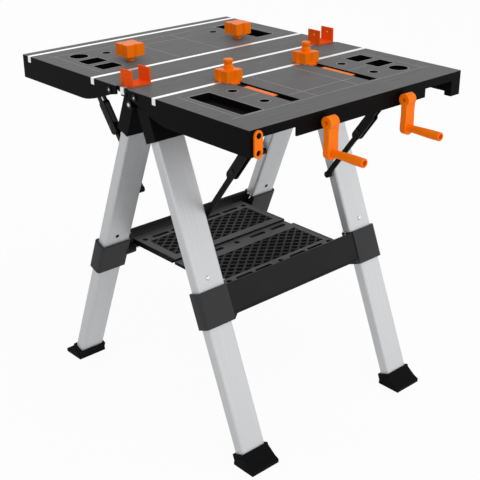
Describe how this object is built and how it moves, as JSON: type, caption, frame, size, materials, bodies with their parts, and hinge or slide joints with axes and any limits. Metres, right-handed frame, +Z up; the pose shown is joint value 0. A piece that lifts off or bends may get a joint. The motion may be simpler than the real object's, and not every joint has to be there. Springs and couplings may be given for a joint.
{
  "type": "folding workbench",
  "caption": "Folding workbench with hinged tool-tray decks on splayed aluminium legs, a fold-up lattice shelf and crank-driven clamp jaws",
  "frame": {"origin": "on the floor, under the middle of the bench and its cranks", "axes": "+X along the centre rail to the right, +Y from the crank side to the rear, +Z up"},
  "size_m": [0.6396, 0.8992, 0.8534],
  "materials": {
    "deck_grey": "satin moulded, streaked",
    "black_plastic": "satin moulded",
    "crossbar_grey": "satin moulded",
    "shelf_grey": "satin moulded lattice",
    "foot_rubber": "matte",
    "brace_black": "satin black",
    "orange_plastic": "semi-gloss",
    "aluminium": "satin extruded",
    "steel": "bright"
  },
  "bodies": {
    "rail": {"centre_rail": "black_plastic", "centre_strip": "aluminium", "axle_bolt_left": "steel", "axle_bolt_right": "steel"},
    "front_frame": {"front_leg_left": "aluminium", "front_leg_right": "aluminium", "front_leg_cap_left": "black_plastic", "front_leg_cap_right": "black_plastic", "front_foot_left": "foot_rubber", "front_foot_right": "foot_rubber", "front_panel_pin_left": "steel", "front_panel_pin_right": "steel", "front_crossbar": "crossbar_grey", "front_shelf_pin": "steel"},
    "rear_frame": {"rear_leg_left": "aluminium", "rear_leg_right": "aluminium", "rear_leg_cap_left": "black_plastic", "rear_leg_cap_right": "black_plastic", "rear_foot_left": "foot_rubber", "rear_foot_right": "foot_rubber", "rear_panel_pin_left": "steel", "rear_panel_pin_right": "steel", "rear_crossbar": "crossbar_grey", "rear_shelf_pin": "steel"},
    "front_panel": {"front_deck": "deck_grey", "front_strip_inner": "aluminium", "screw_bush_left": "black_plastic", "screw_bush_right": "black_plastic"},
    "rear_panel": {"rear_deck": "deck_grey", "rear_strip_inner": "aluminium", "rear_strip_outer": "aluminium"},
    "front_brace_lower": {"front_brace_rod_left": "brace_black", "front_brace_rod_right": "brace_black"},
    "front_brace_upper": {"front_brace_arm_left": "brace_black", "front_brace_arm_right": "brace_black"},
    "rear_brace_lower": {"rear_brace_rod_left": "brace_black", "rear_brace_rod_right": "brace_black"},
    "rear_brace_upper": {"rear_brace_arm_left": "brace_black", "rear_brace_arm_right": "brace_black"},
    "front_shelf_half": {"front_shelf": "shelf_grey"},
    "rear_shelf_half": {"rear_shelf": "shelf_grey"},
    "shelf_centre": {"shelf_centre_bar": "shelf_grey"},
    "front_latch": {"front_latch_link": "orange_plastic"},
    "rear_latch": {"rear_latch_link": "orange_plastic"},
    "crank_left": {"crank_arm_left": "orange_plastic", "lead_screw_left": "steel"},
    "crank_right": {"crank_arm_right": "orange_plastic", "lead_screw_right": "steel"},
    "grip_left": {"crank_grip_left": "orange_plastic"},
    "grip_right": {"crank_grip_right": "orange_plastic"},
    "jaw_left": {"clamp_slider_left": "orange_plastic", "clamp_jaw_left": "orange_plastic"},
    "jaw_right": {"clamp_slider_right": "orange_plastic", "clamp_jaw_right": "orange_plastic"},
    "dog_left": {"bench_dog_left": "orange_plastic"},
    "dog_right": {"bench_dog_right": "orange_plastic"},
    "bracket_left": {"beam_bracket_left": "orange_plastic"},
    "bracket_right": {"beam_bracket_right": "orange_plastic"}
  },
  "joints": [
    {"name": "front_legs_fold", "type": "hinge", "parent": "rail", "child": "front_frame", "pos_m": [0, 0.05045, 0.766], "axis": [1, 0, 0], "range_deg": [0, 17.5]},
    {"name": "rear_legs_fold", "type": "hinge", "parent": "rail", "child": "rear_frame", "pos_m": [0, 0.05045, 0.766], "axis": [-1, 0, 0], "range_deg": [0, 17.5]},
    {"name": "front_panel_fold", "type": "hinge", "parent": "front_frame", "child": "front_panel", "pos_m": [0, 0.00645, 0.793], "axis": [1, 0, 0], "range_deg": [0, 56]},
    {"name": "rear_panel_fold", "type": "hinge", "parent": "rear_frame", "child": "rear_panel", "pos_m": [0, 0.09445, 0.793], "axis": [-1, 0, 0], "range_deg": [0, 66]},
    {"name": "front_brace_lower_turn", "type": "hinge", "parent": "front_frame", "child": "front_brace_lower", "pos_m": [0, -0.06505, 0.51494], "axis": [1, 0, 0], "range_deg": [-47.94, 0]},
    {"name": "front_brace_upper_turn", "type": "hinge", "parent": "front_panel", "child": "front_brace_upper", "pos_m": [0, -0.24955, 0.762], "axis": [1, 0, 0], "range_deg": [0, 53.22]},
    {"name": "rear_brace_lower_turn", "type": "hinge", "parent": "rear_frame", "child": "rear_brace_lower", "pos_m": [0, 0.16595, 0.51494], "axis": [-1, 0, 0], "range_deg": [-56.02, 0]},
    {"name": "rear_brace_upper_turn", "type": "hinge", "parent": "rear_panel", "child": "rear_brace_upper", "pos_m": [0, 0.35045, 0.762], "axis": [-1, 0, 0], "range_deg": [0, 52.06]},
    {"name": "front_shelf_fold", "type": "hinge", "parent": "front_frame", "child": "front_shelf_half", "pos_m": [0, -0.1272, 0.338], "axis": [1, 0, 0], "range_deg": [0, 68]},
    {"name": "rear_shelf_fold", "type": "hinge", "parent": "rear_frame", "child": "rear_shelf_half", "pos_m": [0, 0.2281, 0.338], "axis": [-1, 0, 0], "range_deg": [0, 68]},
    {"name": "shelf_centre_lift", "type": "slide", "parent": "rail", "child": "shelf_centre", "axis": [0, 0, 1], "range_m": [0, 0.05]},
    {"name": "front_latch_swing", "type": "hinge", "parent": "front_panel", "child": "front_latch", "pos_m": [-0.298, -0.34585, 0.793], "axis": [0, 1, 0], "range_deg": [-90, 90]},
    {"name": "rear_latch_swing", "type": "hinge", "parent": "rear_panel", "child": "rear_latch", "pos_m": [0.298, 0.44675, 0.793], "axis": [0, -1, 0], "range_deg": [-90, 90]},
    {"name": "crank_left_turn", "type": "hinge", "parent": "front_panel", "child": "crank_left", "pos_m": [-0.117, -0.36005, 0.784], "axis": [0, 1, 0], "range_deg": [0, 2520]},
    {"name": "crank_right_turn", "type": "hinge", "parent": "front_panel", "child": "crank_right", "pos_m": [0.117, -0.36005, 0.784], "axis": [0, 1, 0], "range_deg": [0, 2520]},
    {"name": "jaw_left_slide", "type": "slide", "parent": "front_panel", "child": "jaw_left", "axis": [0, -1, 0], "range_m": [0, 0.042]},
    {"name": "jaw_right_slide", "type": "slide", "parent": "front_panel", "child": "jaw_right", "axis": [0, -1, 0], "range_m": [0, 0.042]},
    {"name": "grip_left_spin", "type": "hinge", "parent": "crank_left", "child": "grip_left", "pos_m": [-0.117, -0.40855, 0.722], "axis": [0, 1, 0], "continuous": true},
    {"name": "grip_right_spin", "type": "hinge", "parent": "crank_right", "child": "grip_right", "pos_m": [0.117, -0.40855, 0.722], "axis": [0, 1, 0], "continuous": true},
    {"name": "dog_left_lift", "type": "slide", "parent": "rear_panel", "child": "dog_left", "axis": [0, 0, 1], "range_m": [0, 0.04]},
    {"name": "dog_right_lift", "type": "slide", "parent": "rear_panel", "child": "dog_right", "axis": [0, 0, 1], "range_m": [0, 0.04]},
    {"name": "bracket_left_lift", "type": "slide", "parent": "rail", "child": "bracket_left", "axis": [0, 0, 1], "range_m": [0, 0.03]},
    {"name": "bracket_right_lift", "type": "slide", "parent": "rail", "child": "bracket_right", "axis": [0, 0, 1], "range_m": [0, 0.03]}
  ],
  "couplings": [
    {"joint": "rear_legs_fold", "follows": "front_legs_fold", "ratio": 1},
    {"joint": "front_shelf_fold", "follows": "front_legs_fold", "ratio": 3.8857},
    {"joint": "rear_shelf_fold", "follows": "front_legs_fold", "ratio": 3.8857},
    {"joint": "shelf_centre_lift", "follows": "front_legs_fold", "m_per_rad": 0.1637},
    {"joint": "front_brace_lower_turn", "follows": "front_panel_fold", "ratio": -0.85605},
    {"joint": "front_brace_upper_turn", "follows": "front_panel_fold", "ratio": 0.95028},
    {"joint": "rear_brace_lower_turn", "follows": "rear_panel_fold", "ratio": -0.84872},
    {"joint": "rear_brace_upper_turn", "follows": "rear_panel_fold", "ratio": 0.78878},
    {"joint": "jaw_left_slide", "follows": "crank_left_turn", "m_per_rad": 0.00095493},
    {"joint": "jaw_right_slide", "follows": "crank_right_turn", "m_per_rad": 0.00095493}
  ]
}
